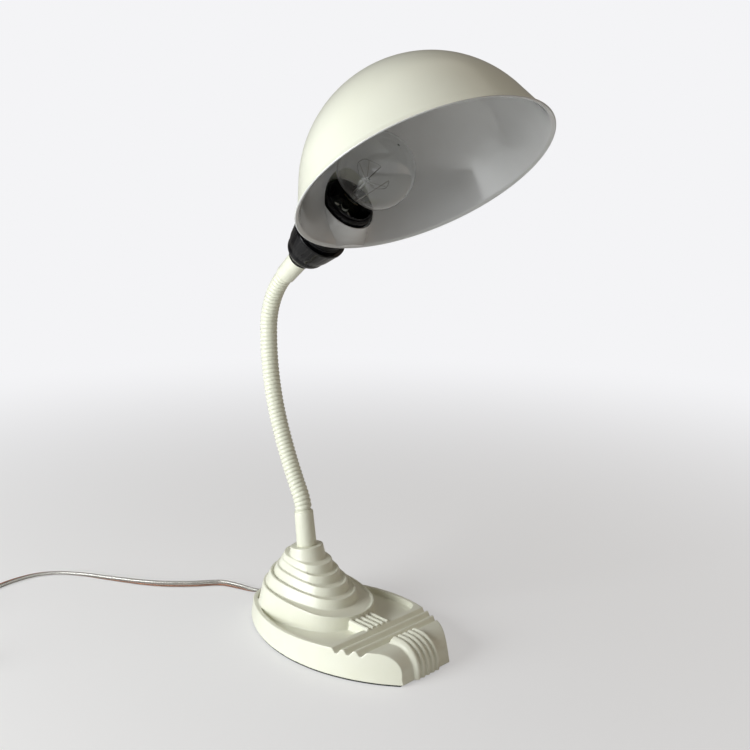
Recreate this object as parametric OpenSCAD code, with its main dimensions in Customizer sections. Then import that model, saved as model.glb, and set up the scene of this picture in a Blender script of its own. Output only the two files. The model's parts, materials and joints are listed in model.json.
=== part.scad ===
// Gooseneck desk lamp: stepped cast base, ribbed flexible neck, side-entry lampholder and dome shade.
// Millimetres, +Z up. The base's blunt front looks towards -Y and X = 0 is its mirror plane.

/* [Base] */
// Width of the base across its rim
base_w = 117.5; // [112:0.5:122]
// Distance from the stem to the foot of the front
base_front = 145; // [142:1:150]
// Distance from the stem to the back of the rim
base_rear = 52.8; // [50:0.2:56]
// Height of the deck at the first groove
deck_h = 23.2; // [22:0.2:25]
// Fall of the deck towards the back, in degrees
deck_fall = 3; // [1.5:0.1:3.4]
// Outward slope of the outer wall, in degrees
wall_draft = 8; // [6:0.5:12]
// Depth of the tray under the deck
tray_depth = 5.4; // [4.6:0.2:6]
// Radius of the rounded front
front_r = 17; // [14:1:18]

/* [Stem and neck] */
// Backward lean of the stem and the stepped tiers, in degrees
stem_lean = 6.5; // [5:0.5:8]
// Height of the socket collar along the stem
collar_top = 70; // [68:1:74]
// Length of the lower ferrule
lower_ferrule_h = 30.5; // [26:0.5:36]
// Length of the upper ferrule
upper_ferrule_h = 24.5; // [22:0.5:28]
// Outside radius over the turns of the winding
turn_r = 7.5; // [7.4:0.1:7.8]
// Number of turns in each stretch of the winding
turns = 5; // [5:1:6]
// Bends of the neck from the foot up: length, then direction at its end, in degrees from upright
neck_runs = [[18, 29], [60, 20], [88, -3], [55, -51.5]];

/* [Shade] */
// Outside radius of the dome's spherical top
dome_r = 93.1; // [91:0.1:95]
// Depth of the sphere's centre below the rim
dome_drop = 5.7; // [4.5:0.1:7]
// Half angle of the straight wall at the rim, in degrees
skirt_angle = 20.5; // [18:0.5:23]
// Thickness of the spun sheet
sheet = 1; // [0.8:0.1:1.2]
// Angle between the lampholder's axis and the dome's axis, in degrees
dome_tilt = 84.5; // [83:0.5:86]
// Distance from the upper ferrule to the dome's centre line, along the lampholder
dome_reach = 152.8; // [151:0.2:154]
// Distance from the lampholder's axis down to the rim plane
dome_below = 38; // [37:0.2:39]
// Turn of the shade about the lampholder, in degrees
shade_turn = -3; // [-8:1:8]

/* [Lampholder and bulb] */
// Radius of the threaded barrel
barrel_r = 19.5; // [19.3:0.1:19.7]
// Distance from the upper ferrule to the shade's seat
seat_at = 70.5; // [69:0.5:72]
// Radius of the bulb
bulb_r = 30; // [28:0.5:31]
// Overall length of the bulb
bulb_len = 112; // [108:1:114]

/* [Cord] */
// Width of the flat twin cord
cord_w = 6.2; // [5.6:0.2:6.4]
// Thickness of the flat twin cord
cord_t = 3.1; // [2.8:0.1:3.2]
// Mean radius of the put-away coil
coil_r = 35; // [33:1:37]

/* [Hidden] */
$fn = 64;
eps = 0.01;

ivory = "#e6e3cf";
black = "#15151a";
brass = "#c9a24a";
steel = "#8d9094";
clear = "#d8d8d0";

// Base plan: two long side arcs and a round back, all tangent
side_r = 146;
side_y = -49;
side_x = side_r - base_w / 2;
back_len = base_rear - side_y;
back_r = (side_r * side_r - side_x * side_x - back_len * back_len) / (2 * (side_r - back_len));
back_y = base_rear - back_r;
pad_h = 1.5;
wall = 5.5;
rim_w = 3.2;
floor_t = 2.4;
tray_front = -80.5;
tray_corner = 10;
groove_y = -94.3;
groove_pitch = 9.8;
groove_r = 4.2;
bend_y = 1.8 + front_r - base_front;
bend_z = deck_z(bend_y) - front_r / cos(deck_fall);
rib_pitch = 5.5;

// Stepped tiers from the bottom up: height and place of the back's centre, forward slope in degrees,
// back radius, nose radius, forward reach, side radius, spread of the wall per millimetre
tiers = [[34.3, 2, 5, 37.6, 35, 72, 130, 0.17],
         [43.4, 3.3, 7.2, 30.4, 23.6, 56, 112, 0.32],
         [49.8, 4.3, 7.2, 23.8, 19.6, 47.6, 104, 0.32],
         [56, 5.2, 7.2, 19, 17.8, 38.6, 100, 0.3],
         [61.4, 4.6, 5.5, 16.8, 15.6, 30, 90, 0.25]];
tier_sink = [27, 13.5, 10, 9.5, 8.5];
tread_dish = 1.2;
tread_lip = 2;
stem_y = -collar_top * tan(stem_lean);
collar_r = 14.3;
nut_at = 51.5;

// Winding
core_r = 6.15;
rib_r = turn_r - core_r;
bore_r = 3.8;
ball_r = 5.2;
stretches = 12;
neck_len = neck_runs[0][0] + neck_runs[1][0] + neck_runs[2][0] + neck_runs[3][0];
stretch = neck_len / stretches;
pitch = stretch / turns;
ferrule_top = collar_top + lower_ferrule_h;
neck_start = [stem_y + ferrule_top * sin(stem_lean), ferrule_top * cos(stem_lean), stem_lean];
spigot_r = 7.35;
spigot_h = 7;
fit = 0.05;
nipple_r = 5;

// Lampholder, measured from the end of the upper ferrule
bell_end = 34;
barrel_start = 22.5;
barrel_end = seat_at + 9;
insert_top = 31;
ring_r = barrel_r + 2.5;
bell_r = barrel_r + 3.3;
shoulder_r = bell_r - 5.6;
ring_h = 6.5;
bulb_at = insert_top + 2.2;
bulb_centre = bulb_len - bulb_r;
cup_r = ring_r + 1.2;
wire_r = 14;

// Cord route on the desk, from the bushing to the switch, then to the coil, then to the plug
bushing_y = 53.5;
bushing_z = 6.6;
lead_route = [[0, bushing_y + 2.5, bushing_z, 0], [-0.6, 62, 5.9, 8], [-2, 70, 4.4, 25],
              [-4, 79, 3.4, 48], [-7, 92, lying_z(68), 68], [-13, 108, lying_z(78), 78],
              [-22, 117, lying_z(80), 80], [-33, 125, lying_z(80), 80], [-45, 136, lying_z(80), 80],
              [-57, 149, lying_z(76), 76], [-68, 165, lying_z(68), 68], [-77, 181, lying_z(58), 58],
              [-88, 202, lying_z(46), 46], [-98, 222, lying_z(35), 35], [-111, 241, lying_z(25), 25],
              [-121, 250, lying_z(18), 18], [-133, 256, lying_z(12), 12], [-150, 258, lying_z(6), 6],
              [-168, 256, lying_z(2), 2], [-186, 251, lying_z(0), 0], [-203, 245, 2.6, 0],
              [-218, 240, 4.6, 0], [-229, 237, 6, 0]];
switch_c = [-254.2, 230.2, 0];
switch_turn = 15.1;
switch_len = 52;
switch_w = 18;
switch_h = 13;
wheel_r = 10.8;
wheel_h = 3.6;
link_route = [[-279.4, 223.4, 6, 0], [-287, 221.8, 5, 0], [-296, 222.3, 3.2, 0],
              [-308, 224.5, 1.9, 0], [-322, 227, lying_z(0), 0], [-333, 228.8, lying_z(0), 0]];
coil_lanes = 3;
coil_layers = 2;
coil_w = coil_lanes * cord_w + 0.8;
coil_h = coil_layers * cord_t + 0.1;
coil_c = [-352, 190, coil_h / 2 + 0.1];
tail_route = [[-352, 148.6, 4.8, 0], [-338, 148, 4.9, 0], [-324, 146.2, 5.5, 0], [-311, 143.5, 6.8, 0],
              [-298, 139.5, 8, 0]];
plug_c = [-298, 139.5, 8];
plug_turn = -22;

function deck_z(y) = deck_h - (y + 90) * tan(deck_fall);

// Distance of a side arc's centre behind and beside a plan with a round back and a round nose
function arc_y(back, nose, gap, side) =
    -(gap * gap + pow(side - back, 2) - pow(side - nose, 2)) / (2 * gap);
function arc_x(back, nose, gap, side) = sqrt(pow(side - back, 2) - pow(arc_y(back, nose, gap, side), 2));

// Point on the neck's centre line: y, z and direction, a length s above its foot
function arc_step(p, s, turned) =
    let (a = p[2] + turned, k = turned * PI / 180 / s)
    [p[0] + (cos(p[2]) - cos(a)) / k, p[1] + (sin(a) - sin(p[2])) / k, a];
function neck_point(s, i = 0, p = neck_start) =
    let (run = neck_runs[i])
    s <= run[0] || i == len(neck_runs) - 1
        ? arc_step(p, max(s, eps), (run[1] - p[2]) * max(s, eps) / run[0])
        : neck_point(s - run[0], i + 1, arc_step(p, run[0], run[1] - p[2]));

module along_neck(s) {
    p = neck_point(s);
    translate([0, p[0], p[1]])
        rotate([-p[2], 0, 0])
            children();
}

module on_stem(t = 0) {
    translate([0, stem_y, 0])
        rotate([-stem_lean, 0, 0])
            translate([0, 0, t])
                children();
}

module on_holder(s = 0) {
    along_neck(neck_len)
        translate([0, 0, upper_ferrule_h + s])
            children();
}

module in_dome() {
    on_holder()
        rotate([0, 0, shade_turn])
            translate([0, -dome_below, dome_reach])
                rotate([-dome_tilt, 0, 0])
                    children();
}

// On the deck's plane, y millimetres behind the stem
module on_deck(y = 0) {
    translate([0, -90, deck_h])
        rotate([-deck_fall, 0, 0])
            translate([0, y + 90, 0])
                children();
}

module on_tier(i) {
    translate([0, tiers[i][1], tiers[i][0]])
        rotate([tiers[i][2], 0, 0])
            children();
}

module on_switch() {
    translate(switch_c)
        rotate([0, 0, switch_turn])
            children();
}

module on_plug() {
    translate(plug_c)
        rotate([0, 0, plug_turn])
            children();
}

// A straight round rod between two points
module rod(a, b, r) {
    d = b - a;
    translate(a)
        rotate([0, acos(d[2] / norm(d)), atan2(d[1], d[0])])
            cylinder(h = norm(d), r = r, $fn = 40);
}

module tube(r_out, r_in, h) {
    difference() {
        cylinder(h = h, r = r_out);
        translate([0, 0, -1])
            cylinder(h = h + 2, r = r_in);
    }
}

// Flattened section of the twin cord, eight sided
function cord_section() =
    [for (a = [22.5:45:337.5]) [cord_w / 2 * cos(a) / cos(22.5), cord_t / 2 * sin(a) / cos(22.5)]];

// Level sideways direction of a route at point i
function route_side(route, i) =
    let (d = route[min(i + 1, len(route) - 1)] - route[max(i - 1, 0)])
    [-d[1], d[0], 0] / norm([d[0], d[1]]);

// Height of the middle of a twin cord that lies rolled over by angle a
function lying_z(a) = cord_t / 2 * (1 + sin(a)) + 0.1;

// Route with a middle point added to each step, so that its corners turn gently
function smooth_route(route) = [
    for (i = [0:len(route) - 1])
        for (half = [0, 1])
            if (half == 0 || i < len(route) - 1)
                half == 0
                    ? route[i]
                    : (9 * (route[i] + route[i + 1])
                       - route[max(i - 1, 0)] - route[min(i + 2, len(route) - 1)]) / 16];

// Twin cord along points of x, y, z and the angle by which it is rolled over
module cord(path) {
    route = smooth_route(path);
    section = cord_section();
    n = len(section);
    last = len(route) - 1;
    points = [for (i = [0:last])
                  for (q = section)
                      let (side = route_side(route, i), a = route[i][3])
                      [route[i][0], route[i][1], route[i][2]]
                      + side * (q[0] * cos(a) - q[1] * sin(a))
                      + [0, 0, q[0] * sin(a) + q[1] * cos(a)]];
    sides = [for (i = [0:last - 1])
                 for (k = [0:n - 1])
                     [i * n + k, (i + 1) * n + k, (i + 1) * n + (k + 1) % n, i * n + (k + 1) % n]];
    ends = [[for (k = [0:n - 1]) k], [for (k = [n - 1:-1:0]) last * n + k]];
    polyhedron(points = points, faces = concat(sides, ends), convexity = 10);
}

// Solid with a streamlined plan: round back at the origin, side arcs, round nose towards -Y
module streamline(back, nose, reach, side, h, flare) {
    gap = reach - nose;
    ay = arc_y(back, nose, gap, side);
    ax = arc_x(back, nose, gap, side);
    far = 1.6 * side;
    back_out = [ax, ay] * far / norm([ax, ay]);
    nose_out = [ax, gap + ay] * far / norm([ax, gap + ay]);
    intersection() {
        cylinder(h = h, r1 = back + flare, r2 = back);
        linear_extrude(h)
            polygon([[0, 0], [back_out[0], -back_out[1]], [far, far], [-far, far],
                     [-back_out[0], -back_out[1]]]);
    }
    intersection() {
        translate([0, -gap, 0])
            cylinder(h = h, r1 = nose + flare, r2 = nose);
        linear_extrude(h)
            polygon([[0, -gap], [-nose_out[0], -gap - nose_out[1]], [0, -3 * far],
                     [nose_out[0], -gap - nose_out[1]]]);
    }
    intersection() {
        translate([ax, ay, 0])
            cylinder(h = h, r1 = side + flare, r2 = side, $fn = 200);
        translate([-ax, ay, 0])
            cylinder(h = h, r1 = side + flare, r2 = side, $fn = 200);
        linear_extrude(h)
            polygon([[0, 0], [-back_out[0], -back_out[1]], [-nose_out[0], -gap - nose_out[1]], [0, -gap],
                     [nose_out[0], -gap - nose_out[1]], [back_out[0], -back_out[1]]]);
    }
}

// The same plan as a straight-walled solid
module streamline_slab(back, nose, reach, side, h) {
    gap = reach - nose;
    ay = arc_y(back, nose, gap, side);
    ax = arc_x(back, nose, gap, side);
    back_in = [ax, ay] * back / norm([ax, ay]);
    nose_in = [ax, gap + ay] * nose / norm([ax, gap + ay]);
    linear_extrude(h) {
        circle(back);
        translate([0, -gap])
            circle(nose);
        intersection() {
            translate([ax, ay])
                circle(side, $fn = 200);
            translate([-ax, ay])
                circle(side, $fn = 200);
            polygon([[0, 0], [-1.2 * back_in[0], -1.2 * back_in[1]],
                     [-1.2 * nose_in[0], -gap - 1.2 * nose_in[1]], [0, -gap],
                     [1.2 * nose_in[0], -gap - 1.2 * nose_in[1]], [1.2 * back_in[0], -1.2 * back_in[1]]]);
        }
    }
}

// Blank with the base's plan, drafted outwards to the foot and open towards the front
module base_plan(inset, h, flare) {
    out = [side_x, side_y - back_y] * 2;
    intersection() {
        translate([0, back_y, 0])
            cylinder(h = h, r1 = back_r - inset + flare, r2 = back_r - inset);
        linear_extrude(h)
            polygon([[0, back_y], [out[0], back_y - out[1]], [0, 600], [-out[0], back_y - out[1]]]);
    }
    intersection() {
        translate([side_x, side_y, 0])
            cylinder(h = h, r1 = side_r - inset + flare, r2 = side_r - inset, $fn = 200);
        translate([-side_x, side_y, 0])
            cylinder(h = h, r1 = side_r - inset + flare, r2 = side_r - inset, $fn = 200);
        linear_extrude(h)
            polygon([[0, back_y], [-out[0], back_y - out[1]], [-300, -300], [300, -300],
                     [out[0], back_y - out[1]]]);
    }
}

// Side view of the front: sloping deck, round bend and a steep face, proud by a given amount
module front_profile(proud) {
    r = front_r + proud;
    bend = [bend_y, bend_z];
    top = bend + (r - 0.05) * [sin(deck_fall), cos(deck_fall)];
    rotate([90, 0, 90])
        linear_extrude(200, center = true) {
            translate(bend)
                circle(r, $fn = 96);
            polygon([top, top + 230 * [cos(deck_fall), -sin(deck_fall)], [bend_y + 230, 0],
                     [-base_front - proud, 0], bend - [r - 0.05, 0]]);
        }
}

module tray() {
    corner_x = side_r - rim_w - side_x - 6.5 - tray_corner;
    intersection() {
        on_deck()
            translate([0, 0, -tray_depth]) {
                translate([-100, tray_front + tray_corner, 0])
                    cube([200, 200, 20]);
                translate([-corner_x, tray_front, 0])
                    cube([2 * corner_x, tray_corner + 1, 20]);
                for (x = [-corner_x, corner_x])
                    translate([x, tray_front + tray_corner, 0])
                        cylinder(h = 20, r = tray_corner);
            }
        base_plan(rim_w, 60, 0);
    }
}

module grooves() {
    for (i = [0:2])
        let (y = groove_y - i * groove_pitch)
            translate([0, y, deck_z(y) - 0.4])
                rotate([0, 90, 0])
                    cylinder(h = 200, r = groove_r, center = true, $fn = 48);
}

module tray_ribs() {
    on_deck(tray_front)
        translate([0, 0, -tray_depth]) {
            for (i = [-2:2])
                translate([i * rib_pitch, 15, 1.4]) {
                    rotate([90, 0, 0])
                        cylinder(h = 15.5, r = 2.6, $fn = 32);
                    sphere(r = 2.6, $fn = 32);
                }
            translate([-2.5 * rib_pitch, -0.5, -1])
                cube([5 * rib_pitch, 15, 2.4]);
        }
}

// Ribs that run over the deck, round the bend and down the front
module front_ribs() {
    rib = 2.55;
    rise = 1.2;
    start = groove_y - 2 * groove_pitch - groove_r - rib;
    for (i = [-2:2])
        translate([i * rib_pitch, bend_y, bend_z]) {
            translate([0, start - bend_y, front_r + rise])
                rotate([90, 0, 0])
                    cylinder(h = start - bend_y, r = rib, $fn = 32);
            translate([0, start - bend_y, front_r + rise])
                sphere(r = rib, $fn = 32);
            rotate([0, -90, 0])
                rotate([0, 0, -90])
                    rotate_extrude(angle = 90, $fn = 96)
                        translate([front_r + rise, 0])
                            circle(rib, $fn = 32);
            translate([0, -front_r - rise, -bend_z])
                cylinder(h = bend_z, r = rib, $fn = 32);
        }
    intersection() {
        translate([-2.5 * rib_pitch, -base_front - 5, 0])
            cube([5 * rib_pitch, base_front + 5 + start, 60]);
        front_profile(rise);
    }
}

module tier_stack() {
    for (i = [0:4])
        let (t = tiers[i], h = tier_sink[i])
            on_tier(i)
                translate([0, 0, -h])
                    difference() {
                        streamline(t[3], t[4], t[5], t[6], h, t[7] * h);
                        if (i < 4)
                            translate([0, 0, h - tread_dish])
                                streamline_slab(t[3] - tread_lip, t[4] - tread_lip, t[5] - tread_lip,
                                                t[6] - tread_lip, 5);
                    }
    on_stem(56)
        cylinder(h = collar_top - 56, r1 = collar_r + 2.2, r2 = collar_r);
}

module casting_hollow() {
    intersection() {
        translate([0, 0, -1])
            base_plan(wall, 20, 2);
        translate([-100, 8 - base_front, -2])
            cube([200, 300, 40]);
        on_deck()
            translate([-150, -240, -60])
                cube([300, 400, 60 - tray_depth - floor_t]);
    }
    on_tier(0)
        translate([0, 0, -30])
            streamline(30, 26, 62, 122, 23, 0);
    on_tier(1)
        translate([0, 0, -20])
            streamline(22, 15, 44, 100, 13, 2);
    on_stem(30)
        cylinder(h = nut_at + 6.5 - 30, r = 12);
}

module base_casting() color(ivory) {
    flare = tan(wall_draft) * 26;
    difference() {
        union() {
            difference() {
                intersection() {
                    base_plan(flare - tan(wall_draft) * deck_h, 26, flare);
                    front_profile(0);
                }
                tray();
                grooves();
            }
            tier_stack();
            tray_ribs();
            front_ribs();
        }
        casting_hollow();
        on_stem(40)
            cylinder(h = 60, r = nipple_r + 0.1);
        translate([0, bushing_y + 10, bushing_z])
            rotate([90, 0, 0])
                cylinder(h = 30, r = 3.7);
        translate([0, bushing_y + 10, bushing_z])
            rotate([90, 0, 0])
                cylinder(h = 10, r = 5);
        translate([-150, -250, -50])
            cube([300, 400, 50 + pad_h]);
    }
}

module base_pad() color("#2c2f2b") {
    intersection() {
        base_plan(-2, pad_h, 0);
        translate([-100, 3 - base_front, 0])
            cube([200, 300, pad_h]);
    }
}

module cord_bushing() color(black) {
    translate([0, bushing_y, bushing_z])
        rotate([-90, 0, 0])
            difference() {
                union() {
                    cylinder(h = 2.5, r1 = 4.8, r2 = 4);
                    translate([0, 0, -7])
                        cylinder(h = 7.5, r = 3.66);
                }
                translate([0, 0, -8])
                    cylinder(h = 7.4, r = 1.8);
            }
}

module inner_cord() color(clear) {
    translate([0, bushing_y - 0.7, bushing_z])
        rotate([90, 0, 0])
            cylinder(h = 36, r = 1.6, $fn = 24);
    rod([0, 19.2, bushing_z - 1], [0, stem_y + 3, 34], 1.6);
    on_stem(32.5)
        cylinder(h = 46, r = 1.6, $fn = 24);
}

module stem_nipple() color(brass) {
    on_stem(48)
        tube(nipple_r, 3.6, 34);
}

module stem_washer() color(steel) {
    on_stem(nut_at + 5)
        tube(10.5, nipple_r + 0.1, 1.5);
}

module stem_nut() color(steel) {
    on_stem(nut_at)
        difference() {
            cylinder(h = 5, r = 9.6, $fn = 6);
            translate([0, 0, -1])
                cylinder(h = 7, r = nipple_r + fit);
        }
}

module lower_ferrule() color(ivory) {
    on_stem(collar_top)
        difference() {
            cylinder(h = lower_ferrule_h, r1 = 8.8, r2 = 8.2);
            translate([0, 0, -1])
                cylinder(h = 13.2, r = nipple_r + fit);
            translate([0, 0, 1])
                cylinder(h = lower_ferrule_h, r = bore_r);
            translate([0, 0, lower_ferrule_h - spigot_h - 0.2])
                cylinder(h = spigot_h + 1, r = spigot_r + fit);
        }
}

// One turn of the winding: a flat band with a round rib outside
module turn() {
    rotate_extrude() {
        translate([bore_r, -rib_r + 0.02])
            square([core_r - bore_r, 2 * rib_r - 0.04]);
        translate([core_r, 0])
            circle(rib_r, $fn = 32);
    }
}

module spigot(s) {
    along_neck(s)
        difference() {
            union() {
                cylinder(h = spigot_h, r = spigot_r);
                translate([0, 0, -1])
                    cylinder(h = 2, r = core_r - 0.1);
            }
            translate([0, 0, -2])
                cylinder(h = spigot_h + 4, r = bore_r + 0.1);
        }
}

// Stretch n of the winding, with a ball at its top that sits in the next stretch's socket
module neck_coil(n) color(ivory) {
    start = (n - 1) * stretch;
    difference() {
        for (k = [0:turns - 1]) {
            along_neck(start + (k + 0.5) * pitch)
                turn();
            if (k < turns - 1)
                along_neck(start + (k + 1) * pitch)
                    translate([0, 0, -pitch / 2 + 0.3])
                        tube(core_r - 0.15, bore_r + 0.15, pitch - 0.6);
        }
        if (n > 1)
            along_neck(start)
                sphere(r = ball_r + 0.08);
    }
    if (n < stretches)
        along_neck(start + stretch)
            difference() {
                sphere(r = ball_r);
                translate([0, 0, -10])
                    cylinder(h = 20, r = bore_r - 0.1);
            }
    if (n == 1)
        along_neck(0)
            mirror([0, 0, 1])
                difference() {
                    translate([0, 0, -1])
                        union() {
                            cylinder(h = 2, r = core_r - 0.1);
                            translate([0, 0, 1])
                                cylinder(h = spigot_h, r = spigot_r);
                        }
                    translate([0, 0, -2])
                        cylinder(h = spigot_h + 4, r = bore_r + 0.1);
                }
    if (n == stretches)
        spigot(neck_len);
}

module neck_coil_01() neck_coil(1);
module neck_coil_02() neck_coil(2);
module neck_coil_03() neck_coil(3);
module neck_coil_04() neck_coil(4);
module neck_coil_05() neck_coil(5);
module neck_coil_06() neck_coil(6);
module neck_coil_07() neck_coil(7);
module neck_coil_08() neck_coil(8);
module neck_coil_09() neck_coil(9);
module neck_coil_10() neck_coil(10);
module neck_coil_11() neck_coil(11);
module neck_coil_12() neck_coil(12);

module upper_ferrule() color(ivory) {
    on_holder(-upper_ferrule_h)
        difference() {
            cylinder(h = upper_ferrule_h, r1 = 8.4, r2 = 9.1);
            translate([0, 0, -1])
                cylinder(h = spigot_h + 1.2, r = spigot_r + fit);
            translate([0, 0, 1])
                cylinder(h = upper_ferrule_h, r = bore_r);
            translate([0, 0, upper_ferrule_h - 10])
                cylinder(h = 11, r = nipple_r + fit);
        }
}

module holder_nipple() color(brass) {
    on_holder(-9)
        tube(nipple_r, 3.6, 22);
}

module holder_nut() color(steel) {
    on_holder(8)
        difference() {
            cylinder(h = 4, r = 8.4, $fn = 6);
            translate([0, 0, -1])
                cylinder(h = 6, r = nipple_r + fit);
        }
}

// Black bell: a stepped foot, a round shoulder and a flared skirt
module holder_cap() color(black) {
    on_holder()
        difference() {
            rotate_extrude($fn = 96) {
                square([10.6, 3.5]);
                translate([0, 2.4])
                    square([11.6, 1.6]);
                intersection() {
                    translate([shoulder_r / 2, 12])
                        circle(shoulder_r / 2);
                    translate([0, 3.4])
                        square([20, 9]);
                }
                square([shoulder_r / 2, 12]);
                polygon([[0, 11], [shoulder_r, 12], [bell_r - 3.4, 18], [bell_r - 0.4, 31], [bell_r, 32],
                         [bell_r, bell_end], [0, bell_end]]);
            }
            translate([0, 0, -1])
                cylinder(h = 10, r = nipple_r + fit);
            translate([0, 0, 8])
                cylinder(h = 6, r1 = 12, r2 = 14.5);
            translate([0, 0, 13.9])
                cylinder(h = barrel_start - 13.8, r1 = 14.5, r2 = 16.4);
            translate([0, 0, barrel_start - eps])
                cylinder(h = 20, r = barrel_r + fit);
        }
}

module holder_insert() color("#ece9e2") {
    on_holder(19)
        difference() {
            union() {
                cylinder(h = 5, r = 13.8);
                translate([0, 0, 4.5])
                    cylinder(h = insert_top - 23.5, r = 15.9);
                translate([0, 0, insert_top - 19 - eps])
                    tube(15.9, 14.3, 14);
            }
            translate([0, 0, insert_top - 19 + 2])
                cylinder(h = 20, r = 14.3);
            for (x = [-10, 10])
                translate([x, 0, -1])
                    cylinder(h = 7, r = 1.6);
            for (y = [-6, 6])
                translate([0, y, -1])
                    cylinder(h = 20, r = 1.2);
        }
}

module terminal_screws() color(brass) {
    for (x = [-10, 10])
        on_holder(16.2)
            translate([x, 0, 0]) {
                difference() {
                    cylinder(h = 1.9, r = 3);
                    translate([-4, -0.4, -1])
                        cube([8, 0.8, 1.7]);
                }
                cylinder(h = 7, r = 1.5);
                translate([-3.4, -3.4, 2])
                    cube([6.8, 6.8, 0.75]);
            }
}

module holder_leads() color(clear) {
    for (x = [-1, 1])
        on_holder() {
            rod([x * 1.6, 0, -6], [x * 1.8, 0, 13.4], 1.1);
            rod([x * 1.8, 0, 13.4], [x * 5, 0, 15.4], 1.1);
            rod([x * 5, 0, 15.4], [x * 5.4, 0, 17.8], 1.1);
            translate([x * 1.8, 0, 13.4])
                sphere(r = 1.1, $fn = 40);
            translate([x * 5, 0, 15.4])
                sphere(r = 1.1, $fn = 40);
        }
}

// Brass shell with a rolled screw thread, drawn as rings at the thread's pitch
module screw_shell() color(brass) {
    on_holder(insert_top + 2.02)
        difference() {
            cylinder(h = 26, r = 14.2);
            translate([0, 0, 0.6])
                cylinder(h = 30, r = 13.5);
            translate([0, 0, -1])
                cylinder(h = 5, r = 8);
            for (k = [0:5])
                translate([0, 0, 4.4 + k * 3.6])
                    rotate_extrude()
                        translate([13.5, 0])
                            circle(0.45, $fn = 16);
        }
}

module centre_contact() color(brass) {
    on_holder(insert_top + 0.02) {
        translate([-3, -7.5, 0])
            cube([6, 15, 0.5]);
        translate([-2.5, -5, 0.3])
            rotate([9, 0, 0])
                cube([5, 9, 0.45]);
    }
}

module holder_skirt() color(black) {
    on_holder(barrel_start)
        difference() {
            cylinder(h = barrel_end - barrel_start, r = barrel_r, $fn = 96);
            translate([0, 0, -1])
                cylinder(h = 24, r = 16.1);
            translate([0, 0, 20])
                cylinder(h = 10, r = 14.5);
            translate([0, 0, 25])
                cylinder(h = 60, r = barrel_r - 2.9);
            for (k = [0:9])
                translate([0, 0, bell_end - barrel_start + 2 + k * 2.6])
                    rotate_extrude($fn = 96)
                        translate([barrel_r + 0.35, 0])
                            circle(0.8, $fn = 16);
        }
}

// Threaded clamp ring with finger grips round its edge
module clamp_ring(h) {
    difference() {
        rotate_extrude($fn = 96)
            polygon([[barrel_r + fit, 0], [ring_r - 0.6, 0], [ring_r, 0.6], [ring_r, h - 1],
                     [ring_r - 1, h], [barrel_r + fit, h]]);
        for (a = [0:20:340])
            rotate([0, 0, a])
                translate([ring_r + 0.5, 0, -1])
                    cylinder(h = h + 2, r = 1, $fn = 16);
    }
}

module outer_ring() color(black) {
    on_holder(seat_at - 0.1 - ring_h)
        clamp_ring(ring_h);
}

module shade_ring() color(black) {
    on_holder(seat_at + sheet + 0.1)
        clamp_ring(ring_h);
}

// Half section of the space under the dome's sheet, a depth t below the outside
module dome_half(t) {
    r = dome_r - t;
    skirt = (r - 0.1) * [cos(skirt_angle), sin(skirt_angle)] - [0, dome_drop];
    foot = 1.4;
    intersection() {
        translate([0, -dome_drop])
            circle(r, $fn = 180);
        translate([0, skirt[1] - 7])
            square([200, 200]);
    }
    polygon([[0, foot], [skirt[0] + (skirt[1] - foot) * tan(skirt_angle), foot], skirt, [0, skirt[1]]]);
}

module dome_solid(t) {
    in_dome()
        rotate_extrude($fn = 180)
            dome_half(t);
}

module dome_sheet() {
    foot = dome_r * cos(skirt_angle) + (dome_r * sin(skirt_angle) - dome_drop) * tan(skirt_angle);
    in_dome()
        rotate_extrude($fn = 180) {
            difference() {
                dome_half(0);
                dome_half(sheet);
                square([foot - 4, 3]);
            }
            polygon([[foot - 2.3, 1.4], [foot - 1.6, 3.4], [foot + 0.4, 3], [foot + 1.4, 1.6],
                     [foot + 0.6, 0.3], [foot - 0.6, 1.2]]);
            translate([foot + 1, 1.4])
                circle(1.4, $fn = 32);
        }
}

// Dome with a flat seat formed square to the lampholder round its side hole
module shade_dome() color(ivory) {
    difference() {
        dome_sheet();
        on_holder(seat_at - 40)
            cylinder(h = 80, r = cup_r + sheet / 2);
    }
    intersection() {
        on_holder(seat_at - 25)
            tube(cup_r + sheet, cup_r, 25 + sheet);
        dome_solid(0);
    }
    difference() {
        on_holder(seat_at)
            tube(cup_r + sheet, cup_r, 30);
        dome_solid(sheet);
    }
    on_holder(seat_at)
        tube(cup_r + sheet / 2, barrel_r + 0.3, sheet);
}

module on_bulb(t = 0) {
    on_holder(bulb_at + t)
        children();
}

module bulb_contact() color("#b9bcc0") {
    on_bulb()
        cylinder(h = 1.8, r1 = 2.6, r2 = 4.6);
}

module bulb_insulator() color("#1d1a1c") {
    on_bulb(1.8)
        cylinder(h = 3.6, r1 = 4.8, r2 = 9.4);
}

module bulb_cap() color("#c4c0b4") {
    on_bulb(5.4)
        difference() {
            union() {
                cylinder(h = 2.4, r1 = 9.6, r2 = 12.4);
                translate([0, 0, 2.3])
                    cylinder(h = 17.5, r = 12.4);
                for (k = [0:3])
                    translate([0, 0, 4.8 + k * 3.6])
                        rotate_extrude()
                            translate([12.2, 0])
                                circle(0.9, $fn = 24);
                translate([0, 0, 19.6])
                    cylinder(h = 2, r1 = 12.4, r2 = 13.6);
            }
            translate([0, 0, 2.4])
                cylinder(h = 17, r = 11.9);
            translate([0, 0, -0.5])
                cylinder(h = 3.2, r1 = 8.4, r2 = 11.5);
            translate([0, 0, 19.2])
                cylinder(h = 3, r1 = 11.9, r2 = 13.4);
        }
}

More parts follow.
